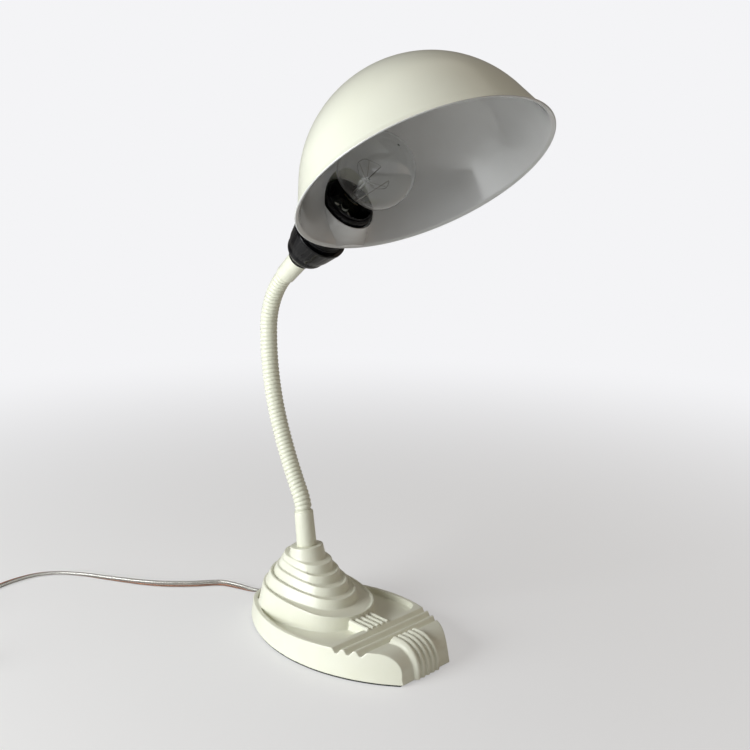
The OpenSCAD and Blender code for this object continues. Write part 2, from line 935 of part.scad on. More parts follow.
// Half section of the bulb: a sphere that runs down into a straight neck through a hollow curve
module bulb_half(t) {
    neck_r = 12.9;
    neck_top = 31;
    rise = bulb_centre - neck_top;
    hollow = (neck_r * neck_r + rise * rise - bulb_r * bulb_r) / (2 * (bulb_r - neck_r));
    reach = [neck_r + hollow, -rise] * bulb_r / (hollow + bulb_r);
    translate([0, bulb_centre])
        intersection() {
            circle(bulb_r - t, $fn = 128);
            translate([0, -60])
                square([60, 120]);
        }
    difference() {
        polygon([[0, 25.2], [neck_r - t, 25.2], [neck_r, neck_top], [neck_r + hollow, neck_top],
                 [reach[0], bulb_centre + reach[1]], [0, bulb_centre]]);
        translate([neck_r + hollow, neck_top])
            circle(hollow + t, $fn = 200);
    }
}

module bulb_glass() color(clear, 0.35) {
    on_bulb()
        rotate_extrude($fn = 128)
            difference() {
                bulb_half(0);
                bulb_half(0.7);
                square([11, 27]);
            }
}

module bulb_stem() color(clear, 0.35) {
    on_bulb()
        rotate_extrude()
            polygon([[0, 30], [2.6, 30], [11.6, 25.4], [12, 26.4], [4.4, 33], [3.4, 50], [1.2, 55],
                     [1.2, 69], [2, 70.4], [1.2, 72], [0, 72]]);
}

module bulb_supports() color(steel) {
    on_bulb() {
        for (y = [-1, 1])
            rod([1, 3.7 * y, 48], [wire_r * cos(28), wire_r * sin(28) * y, 78], 0.35);
        for (a = [75:55:295])
            rod([2.3 * cos(a), 2.3 * sin(a), 70.4], [(wire_r - 0.7) * cos(a), (wire_r - 0.7) * sin(a), 78], 0.2);
    }
}

module filament() color("#3a3632") {
    on_bulb(78)
        rotate([0, 0, 30])
            rotate_extrude(angle = 300, $fn = 96)
                translate([wire_r, 0])
                    circle(0.45, $fn = 16);
}

module supply_cord() color(clear, 0.6) cord(lead_route);
module switch_cord() color(clear, 0.6) cord(link_route);
module plug_cord() color(clear, 0.6) cord(tail_route);

module cord_coil() color(clear, 0.6) {
    translate(coil_c)
        rotate_extrude($fn = 48)
            translate([coil_r, 0])
                intersection() {
                    square([coil_w, coil_h], center = true);
                    circle(coil_w / 2 + 0.2, $fn = 48);
                }
}

module switch_shell(h) {
    linear_extrude(h)
        intersection() {
            square([switch_len, switch_w], center = true);
            circle(27, $fn = 96);
            translate([0, -90 + switch_w / 2])
                circle(90, $fn = 200);
            translate([0, 90 - switch_w / 2])
                circle(90, $fn = 200);
        }
}

module switch_cavity() {
    translate([0, 0, 6 - wheel_h / 2 - 0.3])
        cylinder(h = wheel_h + 0.6, r = wheel_r + 0.4);
    for (x = [-switch_len / 2 - 1, switch_len / 2 - 9])
        translate([x, -cord_w / 2 - 0.1, 6 - cord_t / 2 - 0.1])
            cube([10, cord_w + 0.2, cord_t + 0.2]);
}

module switch_base() color(black) {
    on_switch()
        difference() {
            switch_shell(6);
            switch_cavity();
            for (x = [-19, 19])
                translate([x, 5.2, 2])
                    cylinder(h = 5, r = 1);
        }
}

module switch_cover() color(black) {
    on_switch()
        difference() {
            translate([0, 0, 6])
                switch_shell(switch_h - 6);
            switch_cavity();
            for (x = [-19, 19])
                translate([x, 5.2, 5]) {
                    cylinder(h = 10, r = 1.2);
                    translate([0, 0, 6.4])
                        cylinder(h = 3, r = 2.1);
                }
        }
}

module switch_wheel() color("#26262b") {
    on_switch()
        translate([0, 0, 6 - wheel_h / 2])
            difference() {
                cylinder(h = wheel_h, r = wheel_r);
                for (a = [0:20:340])
                    rotate([0, 0, a])
                        translate([wheel_r + 0.35, 0, -1])
                            cylinder(h = wheel_h + 2, r = 0.9, $fn = 16);
            }
}

module switch_screws() color(steel) {
    on_switch()
        for (x = [-19, 19])
            translate([x, 5.2, 2.4])
                difference() {
                    union() {
                        cylinder(h = 9.5, r = 0.95, $fn = 24);
                        translate([0, 0, 9.1])
                            cylinder(h = 1.1, r = 2);
                    }
                    translate([-0.3, -3, 9.6])
                        cube([0.6, 6, 1]);
                }
}

// Two-blade plug, lying flat, blades towards +X
module plug_body() color(black) {
    on_plug() {
        intersection() {
            translate([0, 0, -7])
                linear_extrude(14)
                    polygon([[0, -5], [9, -6.5], [15, -11.5], [30, -12.5], [30, 12.5], [15, 11.5],
                             [9, 6.5], [0, 5]]);
            rotate([90, 0, 0])
                linear_extrude(40, center = true)
                    polygon([[0, -4], [9, -4.6], [15, -7], [28, -7], [30, -6], [30, 6], [28, 7],
                             [15, 7], [9, 4.6], [0, 4]]);
        }
        for (x = [10.5, 13])
            translate([x, 0, 0])
                rotate([0, 90, 0])
                    cylinder(h = 1.2, r = 7, center = true);
    }
}

module plug_blades() color(brass) {
    on_plug()
        for (y = [-6.35, 6.35])
            difference() {
                translate([30, y - 0.75, -3.2])
                    cube([17, 1.5, 6.4]);
                translate([43, y, 0])
                    rotate([90, 0, 0])
                        cylinder(h = 4, r = 1.6, center = true, $fn = 24);
            }
}

base_casting();
base_pad();
cord_bushing();
inner_cord();
stem_nipple();
stem_washer();
stem_nut();
lower_ferrule();
neck_coil_01();
neck_coil_02();
neck_coil_03();
neck_coil_04();
neck_coil_05();
neck_coil_06();
neck_coil_07();
neck_coil_08();
neck_coil_09();
neck_coil_10();
neck_coil_11();
neck_coil_12();
upper_ferrule();
holder_nipple();
holder_nut();
holder_cap();
holder_insert();
terminal_screws();
holder_leads();
screw_shell();
centre_contact();
holder_skirt();
outer_ring();
shade_ring();
shade_dome();
bulb_cap();
bulb_insulator();
bulb_contact();
bulb_glass();
bulb_stem();
bulb_supports();
filament();
supply_cord();
switch_cord();
plug_cord();
cord_coil();
switch_base();
switch_cover();
switch_wheel();
switch_screws();
plug_body();
plug_blades();
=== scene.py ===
# Gooseneck desk lamp: finishes, cord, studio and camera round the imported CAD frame.
# The scene is in metres. The pieces' own sizes are in millimetres, and turn into metres with toMetres.
import json
import math
import bpy
from mathutils import Matrix, Vector

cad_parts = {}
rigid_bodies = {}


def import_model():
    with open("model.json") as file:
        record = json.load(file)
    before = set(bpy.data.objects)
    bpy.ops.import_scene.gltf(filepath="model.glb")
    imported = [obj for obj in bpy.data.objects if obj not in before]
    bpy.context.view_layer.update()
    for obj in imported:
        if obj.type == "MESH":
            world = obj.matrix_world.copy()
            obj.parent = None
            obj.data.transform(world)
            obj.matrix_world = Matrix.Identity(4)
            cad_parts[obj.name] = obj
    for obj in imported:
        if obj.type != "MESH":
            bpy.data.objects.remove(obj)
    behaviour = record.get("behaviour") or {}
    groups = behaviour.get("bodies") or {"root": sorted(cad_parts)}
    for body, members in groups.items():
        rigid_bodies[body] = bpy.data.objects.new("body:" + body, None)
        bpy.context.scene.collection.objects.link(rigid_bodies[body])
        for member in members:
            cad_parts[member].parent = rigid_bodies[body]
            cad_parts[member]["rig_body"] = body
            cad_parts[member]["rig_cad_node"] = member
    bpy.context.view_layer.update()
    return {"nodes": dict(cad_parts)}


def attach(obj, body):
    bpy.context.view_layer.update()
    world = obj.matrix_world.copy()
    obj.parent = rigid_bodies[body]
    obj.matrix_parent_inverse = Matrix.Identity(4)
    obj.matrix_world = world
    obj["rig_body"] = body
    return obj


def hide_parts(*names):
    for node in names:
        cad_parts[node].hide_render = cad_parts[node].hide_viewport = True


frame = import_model()
cadNodes = frame["nodes"]
mm = 0.001


# small helpers

def pickOnly(*objs):
    bpy.ops.object.select_all(action="DESELECT")
    for obj in objs:
        obj.select_set(True)
    bpy.context.view_layer.objects.active = objs[-1]


def settle(obj):
    pickOnly(obj)
    bpy.ops.object.transform_apply(location=True, rotation=True, scale=True)


def applyModifier(obj, kind, **settings):
    pickOnly(obj)
    modifier = obj.modifiers.new(kind.lower(), kind)
    for key, value in settings.items():
        setattr(modifier, key, value)
    bpy.ops.object.modifier_apply(modifier=modifier.name)


def smoothByAngle(obj, degrees):
    pickOnly(obj)
    bpy.ops.object.shade_smooth_by_angle(angle=math.radians(degrees))


def dress(obj, body, slot, material, *replaced):  # no material where the piece already has its own
    if material is not None:
        obj.data.materials.clear()
        obj.data.materials.append(material)
    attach(obj, body)
    if replaced:
        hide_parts(*replaced)
    return obj


def meshFrom(name, points, faces):
    mesh = bpy.data.meshes.new(name)
    mesh.from_pydata([tuple(p) for p in points], [], faces)
    obj = bpy.data.objects.new(name, mesh)
    bpy.context.scene.collection.objects.link(obj)
    return obj


# where things are: the neck's line, the lampholder and the dome, as in the CAD source

neckShape = {
    "stemLean": 6.5,  # degrees off the vertical
    "collarTop": 70,
    "lowerFerrule": 30.5,
    "upperFerrule": 24.5,
    "runs": [(18, 29), (60, 20), (88, -3), (55, -51.5)],  # length, and the lean it ends at
    "stretches": 12,
    "turns": 5,
    "least": 1e-3,  # shortest length an arc is taken over
}
neckLength = sum(run[0] for run in neckShape["runs"])
stretchLength = neckLength / neckShape["stretches"]


def arcStep(point, length, bentDeg):  # the next point of the neck, as y, z and lean
    y, z, lean = point
    start, stop = math.radians(lean), math.radians(lean + bentDeg)
    bend = math.radians(bentDeg) / length
    return (y + (math.cos(start) - math.cos(stop)) / bend,
            z + (math.sin(stop) - math.sin(start)) / bend, lean + bentDeg)


def neckPoint(s):
    lean = math.radians(neckShape["stemLean"])
    top = neckShape["collarTop"] + neckShape["lowerFerrule"]
    point = (-neckShape["collarTop"] * math.tan(lean) + top * math.sin(lean), top * math.cos(lean),
             neckShape["stemLean"])
    for i, (length, end) in enumerate(neckShape["runs"]):
        if s <= length or i == len(neckShape["runs"]) - 1:
            s = s if abs(s) > neckShape["least"] else neckShape["least"]
            return arcStep(point, s, (end - point[2]) * s / length)
        point = arcStep(point, length, end - point[2])
        s -= length


def neckPlace(s):  # matrix, in mm, that carries a point near the Z axis onto the neck at length s
    y, z, lean = neckPoint(s)
    return Matrix.Translation((0, y, z)) @ Matrix.Rotation(math.radians(-lean), 4, "X")


domeOnHolder = {"turn": -3, "shift": (0, -38, 152.8), "tilt": -84.5}  # degrees, mm, degrees
holderPlace = neckPlace(neckLength) @ Matrix.Translation((0, 0, neckShape["upperFerrule"]))
domePlace = (holderPlace @ Matrix.Rotation(math.radians(domeOnHolder["turn"]), 4, "Z")
             @ Matrix.Translation(domeOnHolder["shift"])
             @ Matrix.Rotation(math.radians(domeOnHolder["tilt"]), 4, "X"))
toMetres = Matrix.Scale(mm, 4)


# camera and studio

camera = {"place": (-0.5381, -0.6339, 0.3989), "down": 12.05, "turned": -44.47, "lens": 48, "sensor": 36,
          "nearest": 0.01}
cameraData = bpy.data.cameras.new("camera")
cameraObj = bpy.data.objects.new("camera", cameraData)
bpy.context.scene.collection.objects.link(cameraObj)
cameraData.lens = camera["lens"]
cameraData.sensor_width = camera["sensor"]
cameraData.clip_start = camera["nearest"]
cameraObj.location = camera["place"]
cameraObj.rotation_euler = (math.radians(90 - camera["down"]), 0, math.radians(camera["turned"]))
bpy.context.scene.camera = cameraObj
bpy.context.scene.view_settings.view_transform = "Standard"


def aimAt(obj, target):
    obj.rotation_euler = (Vector(target) - obj.location).to_track_quat("-Z", "Y").to_euler()


studio = {
    "lamps": [  # name, place, aim, width, height, watts, colour
        ("window side", (-1.28, 0.25, 0.5), (0, -0.06, 0.25), 0.9, 0.9, 21.5, "#FAFDFF"),
        ("room side", (1.1, -1.2, 0.9), (0, -0.06, 0.25), 1.6, 1.6, 2.4, "#FFDDB8"),
        ("ceiling", (0.2, -0.1, 1.8), (0, -0.06, 0.25), 1.6, 1.6, 3.4, "#FFF4E4"),
    ],
    "floor": "#F2F2F0",
    "floorRoughness": 0.75,
    "floorSize": 6,
    "floorLevel": -0.0002,
    "backdrop": "#F4F4F6",
    "room": "#F4EFE8",
    "ambient": 0.17,
    "lift": 0.45,  # share of the backdrop's tone the eye sees in the floor close to the lamp
    "fade": (0.2, 1.25),  # metres from the stem over which the floor turns into the backdrop
}


def colour(hexText):  # sRGB hex to the linear colour a socket takes
    parts = [int(hexText[i:i + 2], 16) / 255 for i in (1, 3, 5)]
    return tuple(c / 12.92 if c <= 0.04045 else ((c + 0.055) / 1.055) ** 2.4 for c in parts) + (1,)


def addNode(tree, kind, settings=None, inputs=None):
    node = tree.nodes.new(kind)
    for key, value in (settings or {}).items():
        setattr(node, key, value)
    for key, value in (inputs or {}).items():
        if isinstance(value, bpy.types.NodeSocket):
            tree.links.new(value, node.inputs[key])
        else:
            node.inputs[key].default_value = value
    return node


for name, place, aim, width, height, watts, tint in studio["lamps"]:
    lampData = bpy.data.lights.new(name, "AREA")
    lampData.shape = "RECTANGLE"
    lampData.size, lampData.size_y = width, height
    lampData.energy = watts
    lampData.color = colour(tint)[:3]
    lamp = bpy.data.objects.new(name, lampData)
    bpy.context.scene.collection.objects.link(lamp)
    lamp.location = place
    aimAt(lamp, aim)
    lamp.visible_camera = False

world = bpy.data.worlds.new("studio")
bpy.context.scene.world = world
world.use_nodes = True
air = world.node_tree
air.nodes.clear()
rays = addNode(air, "ShaderNodeLightPath")
seen = addNode(air, "ShaderNodeMath", {"operation": "MAXIMUM"},
               {0: rays.outputs["Is Camera Ray"], 1: rays.outputs["Is Transmission Ray"]})
room = addNode(air, "ShaderNodeBackground", None,
               {"Color": colour(studio["room"]), "Strength": studio["ambient"]})
plain = addNode(air, "ShaderNodeBackground", None, {"Color": colour(studio["backdrop"]), "Strength": 1.0})
both = addNode(air, "ShaderNodeMixShader", None,
               {0: seen.outputs[0], 1: room.outputs[0], 2: plain.outputs[0]})
addNode(air, "ShaderNodeOutputWorld", None, {"Surface": both.outputs[0]})

bpy.ops.mesh.primitive_plane_add(size=studio["floorSize"], location=(0, 0, studio["floorLevel"]))
floor = bpy.context.object
floor.name = "floor"
settle(floor)
floorFinish = bpy.data.materials.new("matt pale laminate")
floorFinish.use_nodes = True
floorShader = floorFinish.node_tree.nodes["Principled BSDF"]
floorShader.inputs["Base Color"].default_value = colour(studio["floor"])
floorShader.inputs["Roughness"].default_value = studio["floorRoughness"]
ground = floorFinish.node_tree
spot = addNode(ground, "ShaderNodeTexCoord")
away = addNode(ground, "ShaderNodeVectorMath", {"operation": "LENGTH"}, {0: spot.outputs["Object"]})
fade = addNode(ground, "ShaderNodeMapRange", {"interpolation_type": "SMOOTHSTEP"},
               {"Value": away.outputs["Value"], "From Min": studio["fade"][0],
                "From Max": studio["fade"][1], "To Min": studio["lift"], "To Max": 1.0})
eye = addNode(ground, "ShaderNodeLightPath")
share = addNode(ground, "ShaderNodeMath", {"operation": "MULTIPLY"},
                {0: fade.outputs["Result"], 1: eye.outputs["Is Camera Ray"]})
pale = addNode(ground, "ShaderNodeEmission", None, {"Color": colour(studio["backdrop"]), "Strength": 1.0})
blend = addNode(ground, "ShaderNodeMixShader", None,
                {0: share.outputs[0], 1: floorShader.outputs[0], 2: pale.outputs[0]})
ground.links.new(blend.outputs[0], ground.nodes["Material Output"].inputs["Surface"])
floor.data.materials.append(floorFinish)
print("camera and studio ready")


# finishes: each starts from the real material and how its surface was made
def finish(name, baseHex, roughness, **sockets):
    material = bpy.data.materials.new(name)
    material.use_nodes = True
    shader = material.node_tree.nodes["Principled BSDF"]
    shader.inputs["Base Color"].default_value = colour(baseHex)
    shader.inputs["Roughness"].default_value = roughness
    for key, value in sockets.items():
        shader.inputs[key.replace("_", " ")].default_value = value
    return material


def perMetre(millimetres):  # noise scale whose features are about this size
    return 1000 / millimetres


def noiseIn(tree, featureMm, detail):
    place = addNode(tree, "ShaderNodeTexCoord")
    cloud = addNode(tree, "ShaderNodeTexNoise", None,
                    {"Vector": place.outputs["Object"], "Scale": perMetre(featureMm), "Detail": detail})
    return cloud.outputs["Fac"]


def mottle(material, hexA, hexB, featureMm, detail=3):  # two close tints in soft patches
    tree = material.node_tree
    tint = addNode(tree, "ShaderNodeMix", {"data_type": "RGBA"},
                   {0: noiseIn(tree, featureMm, detail), 6: colour(hexA), 7: colour(hexB)})
    tree.links.new(tint.outputs[2], tree.nodes["Principled BSDF"].inputs["Base Color"])


def grain(material, featureMm, depthMm, detail=2):  # bumps of the skin
    tree = material.node_tree
    bump = addNode(tree, "ShaderNodeBump", None,
                   {"Height": noiseIn(tree, featureMm, detail), "Distance": depthMm * mm, "Strength": 1.0})
    tree.links.new(bump.outputs["Normal"], tree.nodes["Principled BSDF"].inputs["Normal"])


# stove enamel sprayed on sand-cast iron: soft gloss over a faintly uneven skin
castEnamel = finish("stoved enamel on cast iron", "#E9EADA", 0.34, Coat_Weight=0.25, Coat_Roughness=0.18)
mottle(castEnamel, "#EAEBDC", "#E5E5D2", 14)
grain(castEnamel, 3.2, 0.10, 3)

# the same enamel on spun steel: smoother and glossier
spunEnamel = finish("stoved enamel on spun steel", "#E9EADB", 0.28, Coat_Weight=0.3, Coat_Roughness=0.12)
mottle(spunEnamel, "#EAEBDD", "#E6E7D6", 40)
grain(spunEnamel, 9, 0.05, 1)

# white reflector enamel inside the dome, glossy enough to mirror the window; its colour is greyed below
# white as painted shade for the dim inside of the dome
shadedReflectorEnamel = finish("reflector enamel greyed as painted shade", "#CDCFD0", 0.16, Coat_Weight=0.9, Coat_Roughness=0.03)
mottle(shadedReflectorEnamel, "#D0D2D3", "#C9CACB", 30)
grain(shadedReflectorEnamel, 8, 0.02, 1)

# enamel on the wound steel of the neck and on its ferrules: a little duller, because the coat is thin
windingEnamel = finish("enamel on wound steel", "#E6E7D6", 0.36, Coat_Weight=0.2, Coat_Roughness=0.2)
mottle(windingEnamel, "#E8E9D9", "#E0E1CE", 6)
grain(windingEnamel, 1.2, 0.02)

# compression-moulded phenolic: deep black, polished, with a faint flow figure
phenolic = finish("polished phenolic", "#050508", 0.1, Specular_IOR_Level=0.28)
mottle(phenolic, "#050508", "#09090D", 5)

# clear blown glass: the bulb shows as thin bright edges only
bulbGlass = finish("clear blown glass", "#FBFCFC", 0.0, Transmission_Weight=1.0, IOR=1.47)

# pressed glass of the stem: the same glass, a little streaky
stemGlass = finish("pressed stem glass", "#F2F4F3", 0.05, Transmission_Weight=1.0, IOR=1.5)

# vitrite between cap and contact: glossy black
vitrite = finish("black cap glass", "#17151A", 0.12)

# drawn aluminium of the bulb's cap: bright, with the faint unevenness of a drawn shell
capAluminium = finish("drawn aluminium", "#C9C6BD", 0.28, Metallic=1.0)
grain(capAluminium, 0.8, 0.01)

# brass, a little tarnished, so its yellow is broken by browner patches
brass = finish("tarnished brass", "#B48D48", 0.3, Metallic=1.0)
mottle(brass, "#BE9650", "#9C7638", 4)
grain(brass, 0.6, 0.008)

# bright zinc plate on nuts, washers and screws: cool grey
zincPlate = finish("bright zinc plate", "#A7ABB0", 0.32, Metallic=1.0)
mottle(zincPlate, "#AEB2B8", "#9A9EA3", 3)
grain(zincPlate, 0.5, 0.008)

# soft solder of the bulb's contact: dull silver
solder = finish("soft solder", "#B5B7BA", 0.4, Metallic=1.0)

# nickel support wires, and the darker tungsten they hold
nickelWire = finish("nickel wire", "#8F8C86", 0.35, Metallic=1.0)
tungsten = finish("coiled tungsten", "#35322F", 0.45, Metallic=1.0)

# glazed porcelain of the terminal block: warm white under a wet gloss
porcelain = finish("glazed porcelain", "#EDE9E0", 0.14, Coat_Weight=0.4, Coat_Roughness=0.05)
mottle(porcelain, "#EFEBE3", "#E6E1D6", 8)

# moulded rubber of bushing and plug: flat black
blackRubber = finish("moulded rubber", "#17171A", 0.55)
mottle(blackRubber, "#18181B", "#222226", 5)
grain(blackRubber, 0.7, 0.02)

# moulded nylon of the switch's wheel: black with a satin sheen
nylon = finish("moulded nylon", "#26262B", 0.45)
mottle(nylon, "#27272C", "#303035", 4)
grain(nylon, 0.6, 0.015)

# pressed wool felt under the foot: matt, with a fibrous edge
felt = finish("pressed felt", "#2C2F2B", 0.95, Sheen_Weight=0.3, Sheen_Roughness=0.5)
mottle(felt, "#2A2D29", "#3A3D38", 1.6, 5)
grain(felt, 0.8, 0.15, 4)

# clear extruded vinyl: the two conductors show through it
clearVinyl = finish("clear extruded vinyl", "#EDEBE4", 0.12, Transmission_Weight=0.92, IOR=1.5)


def strandWire(name, hexA, hexB, roughness):  # bunched fine wires, laid at an angle to the cord
    material = finish(name, hexA, roughness, Metallic=1.0)
    tree = material.node_tree
    shader = tree.nodes["Principled BSDF"]
    flat = addNode(tree, "ShaderNodeUVMap", {"uv_map": "lay"})
    wave = addNode(tree, "ShaderNodeTexWave", {"wave_type": "BANDS", "bands_direction": "DIAGONAL"},
                   {"Vector": flat.outputs["UV"], "Scale": 1.0, "Distortion": 0.6})
    tint = addNode(tree, "ShaderNodeMix", {"data_type": "RGBA"},
                   {0: wave.outputs["Fac"], 6: colour(hexA), 7: colour(hexB)})
    wireMm = 0.1
    bump = addNode(tree, "ShaderNodeBump", None,
                   {"Height": wave.outputs["Fac"], "Distance": wireMm * mm})
    tree.links.new(tint.outputs[2], shader.inputs["Base Color"])
    tree.links.new(bump.outputs["Normal"], shader.inputs["Normal"])
    return material


# bare copper on one side, warm and reddish, and tinned copper on the other, silvery
copperStrands = strandWire("bare copper strands", "#C98A66", "#8A5238", 0.32)
tinnedStrands = strandWire("tinned copper strands", "#D9D9D6", "#8E8F90", 0.28)
print("finishes ready")


# ways of making pieces
weldMm = 0.004


def cadCopy(node, name, flatten=0.6, soften=0.0, sharp=30):
    # a copy of a CAD node with its doubles merged, its flat triangles joined and its edges eased
    pickOnly(cadNodes[node])
    bpy.ops.object.duplicate()
    obj = bpy.context.object
    obj.name = name
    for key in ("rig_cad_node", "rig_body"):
        if key in obj:
            del obj[key]
    obj.parent = None
    obj.matrix_world = Matrix.Identity(4)
    bpy.ops.object.mode_set(mode="EDIT")
    bpy.ops.mesh.select_all(action="SELECT")
    bpy.ops.mesh.remove_doubles(threshold=weldMm * mm)
    if flatten:
        bpy.ops.mesh.dissolve_limited(angle_limit=math.radians(flatten))
    bpy.ops.object.mode_set(mode="OBJECT")
    if soften:
        applyModifier(obj, "BEVEL", width=soften * mm, segments=2, limit_method="ANGLE",
                      angle_limit=math.radians(sharp), harden_normals=False, use_clamp_overlap=True)
    smoothByAngle(obj, sharp)
    return obj


def turned(name, profile, steps, place=None, rise=0.0, turns=1):
    # a section in the XZ plane, in mm, turned about Z, and wound upwards where it has a rise
    edges = [(i, i + 1) for i in range(len(profile) - 1)]
    if profile[0] == profile[-1]:
        profile = profile[:-1]
        edges[-1] = (len(profile) - 1, 0)
    mesh = bpy.data.meshes.new(name)
    mesh.from_pydata([(r, 0, z) for r, z in profile], edges, [])
    obj = bpy.data.objects.new(name, mesh)
    bpy.context.scene.collection.objects.link(obj)
    applyModifier(obj, "SCREW", axis="Z", angle=math.tau, steps=steps, render_steps=steps,
                  screw_offset=rise, iterations=turns, use_merge_vertices=True, merge_threshold=1e-4,
                  use_smooth_shade=True)
    faceOutwards(obj)
    if place is not None:
        obj.data.transform(place)
    return obj


def faceOutwards(obj):
    pickOnly(obj)
    bpy.ops.object.mode_set(mode="EDIT")
    bpy.ops.mesh.select_all(action="SELECT")
    bpy.ops.mesh.remove_doubles(threshold=1e-5)
    bpy.ops.mesh.normals_make_consistent(inside=False)
    bpy.ops.object.mode_set(mode="OBJECT")


def cutWith(obj, tool, operation="DIFFERENCE"):
    applyModifier(obj, "BOOLEAN", operation=operation, object=tool, solver="EXACT")
    bpy.data.objects.remove(tool)


def reshape(obj, place, heights, radii, newRadius):
    # moves one ring of points, found by its height and radius in mm about an axis, to a new radius
    axis = toMetres @ place
    back = axis.inverted()
    moved = 0
    for vertex in obj.data.vertices:
        local = back @ vertex.co
        r = math.hypot(local.x, local.y)
        if heights[0] <= local.z <= heights[1] and radii[0] <= r <= radii[1]:
            vertex.co = axis @ Vector((local.x * newRadius / r, local.y * newRadius / r, local.z))
            moved += 1
    print(obj.name, "rim points moved:", moved)


def joined(name, *objs):
    pickOnly(*reversed(objs))
    bpy.ops.object.join()
    objs[0].name = name
    return objs[0]


def arc(cx, cz, r, startDeg, endDeg, steps):
    return [(cx + r * math.cos(math.radians(startDeg + (endDeg - startDeg) * i / steps)),
             cz + r * math.sin(math.radians(startDeg + (endDeg - startDeg) * i / steps)))
            for i in range(steps + 1)]


# base: the casting takes its notches, the tray's front, the short ribs and a swell beside the long ones,
# and one voxel skin rounds all of it like enamel over a casting
base = {
    "voxelMm": 0.55,
    "smoothing": 3,  # passes
    "mostTriangles": 185000,
    "smoothDeg": 60,
    "deck": 23.2,  # height of the deck at deckAt, and its fall forwards in degrees
    "deckAt": -90,
    "fall": 3,
    "foot": 149.26,  # radius of each side arc at the desk, how it shrinks with height, and its centre
    "draft": 0.1405,
    "side": (87.25, -49),
    "planSteps": 240,
    "grooves": (-94.3, -104.1, -113.9),
    "grooveHalf": 4.4,
    "grooveDepth": 4.1,
    "notch": ((1, 0), (0.82, 0.06), (0.2, 0.95), (-0.2, 0.95), (-0.82, 0.06), (-1, 0)),  # in shares of both
    "barsPast": 0.3,  # beyond the first and the last groove
    "barsDeep": 6,
    "barsHalf": 100,  # wider than the plan, which trims them
    "barsBetween": (5, 30),
    "trayDepth": 5.4,
    "trayFront": -85.2,
    "trayOld": -79.9,  # where the solid's tray ends
    "traySkin": 0.1,
    "trayAbove": 40,
    "trayCorner": 13,
    "cornerX": 40.6,  # middle of each corner's round
    "ribFieldX": 27.5,  # the old tray is left as it is between these
    "trayBack": -68,
    "pitch": 5.5,  # of the ribs, short and long
    "ribs": (-67.5, -89.9),  # where the short ones begin and end
    "ribHalf": 1.95,
    "ribTop": 2.0,  # over the deck
    "ribFoot": 15,
    "frontR": 17,  # bend from the deck down over the front, its centre, where it begins and where it ends
    "bend": (-126.2, 8.07),
    "frontFrom": (-118.8, -122),
    "frontTo": 1.7,
    "flank": [(-10.6, 3.7), (-12.2, 3.5), (-14.4, 2.3), (-16.6, 0), (-16.6, -1.5), (-10.6, -1.5)],
    "flankNarrows": 0.55,  # its width at the desk, as a share
}


def deckZ(y):
    return base["deck"] - (y - base["deckAt"]) * math.tan(math.radians(base["fall"]))


def extruded(name, outline, low, high, axes):
    # a closed outline, in mm, drawn straight from low to high; axes names its two directions
    turn = {"yz": lambda a, b, c: (c, a, b), "xz": lambda a, b, c: (a, c, b),
            "xy": lambda a, b, c: (a, b, c)}[axes]
    count = len(outline)
    points = [turn(a, b, c) for c in (low, high) for a, b in outline]
    faces = [tuple(range(count)), tuple(range(2 * count - 1, count - 1, -1))]
    faces += [(i, (i + 1) % count, count + (i + 1) % count, count + i) for i in range(count)]
    obj = meshFrom(name, points, faces)
    faceOutwards(obj)
    return obj


def planBlank(low, high):  # the plan of the casting: two long side arcs, drafted to the foot
    halves = []
    for side in (-1, 1):
        rings = [(base["foot"] - base["draft"] * z, z) for z in (low, high)]
        cone = turned("cone", [(0, low), rings[0], rings[1], (0, high)], base["planSteps"])
        cone.data.transform(Matrix.Translation((side * base["side"][0], base["side"][1], 0)))
        halves.append(cone)
    cutWith(halves[0], halves[1], "INTERSECT")
    return halves[0]


# narrow notches in place of the round flutes, with rounded bars between
notched = []
for y in base["grooves"]:
    for across, down in base["notch"]:
        at = y + across * base["grooveHalf"]
        notched.append((at, deckZ(at) - base["grooveDepth"] * down))
ends = [(y, deckZ(y)) for y in (notched[0][0] + base["barsPast"], notched[-1][0] - base["barsPast"])]
under = [(y, z - base["barsDeep"]) for y, z in ends]
bars = extruded("bars", [under[0], ends[0]] + notched + [ends[1], under[1]], -base["barsHalf"],
                base["barsHalf"], "yz")
cutWith(bars, planBlank(*base["barsBetween"]), "INTERSECT")

# the tray's front, carried on to the bars, with its corners
corner, cornerX, ribFieldX = base["trayCorner"], base["cornerX"], base["ribFieldX"]
plan = arc(-cornerX, base["trayFront"] + corner, corner, 180, 270, 12)
plan += arc(cornerX, base["trayFront"] + corner, corner, 270, 360, 12)
backY, oldY = base["trayBack"], base["trayOld"]
plan += [(cornerX + corner, backY), (ribFieldX, backY), (ribFieldX, oldY), (-ribFieldX, oldY),
         (-ribFieldX, backY), (-cornerX - corner, backY)]
trayCut = extruded("trayCut", plan, deckZ(base["trayOld"]) - base["trayDepth"] - base["traySkin"],
                   base["trayAbove"], "xy")

# five short ribs in the tray
shortRibs = []
half, top = base["ribHalf"], deckZ(base["ribs"][1]) + base["ribTop"]
for i in range(-2, 3):
    middle = i * base["pitch"]
    section = [(middle + x, top - half + z) for x, z in arc(0, 0, half, 180, 0, 8)]
    section = [(middle - half, base["ribFoot"])] + section + [(middle + half, base["ribFoot"])]
    shortRibs.append(extruded("rib", section, base["ribs"][1], base["ribs"][0], "xz"))


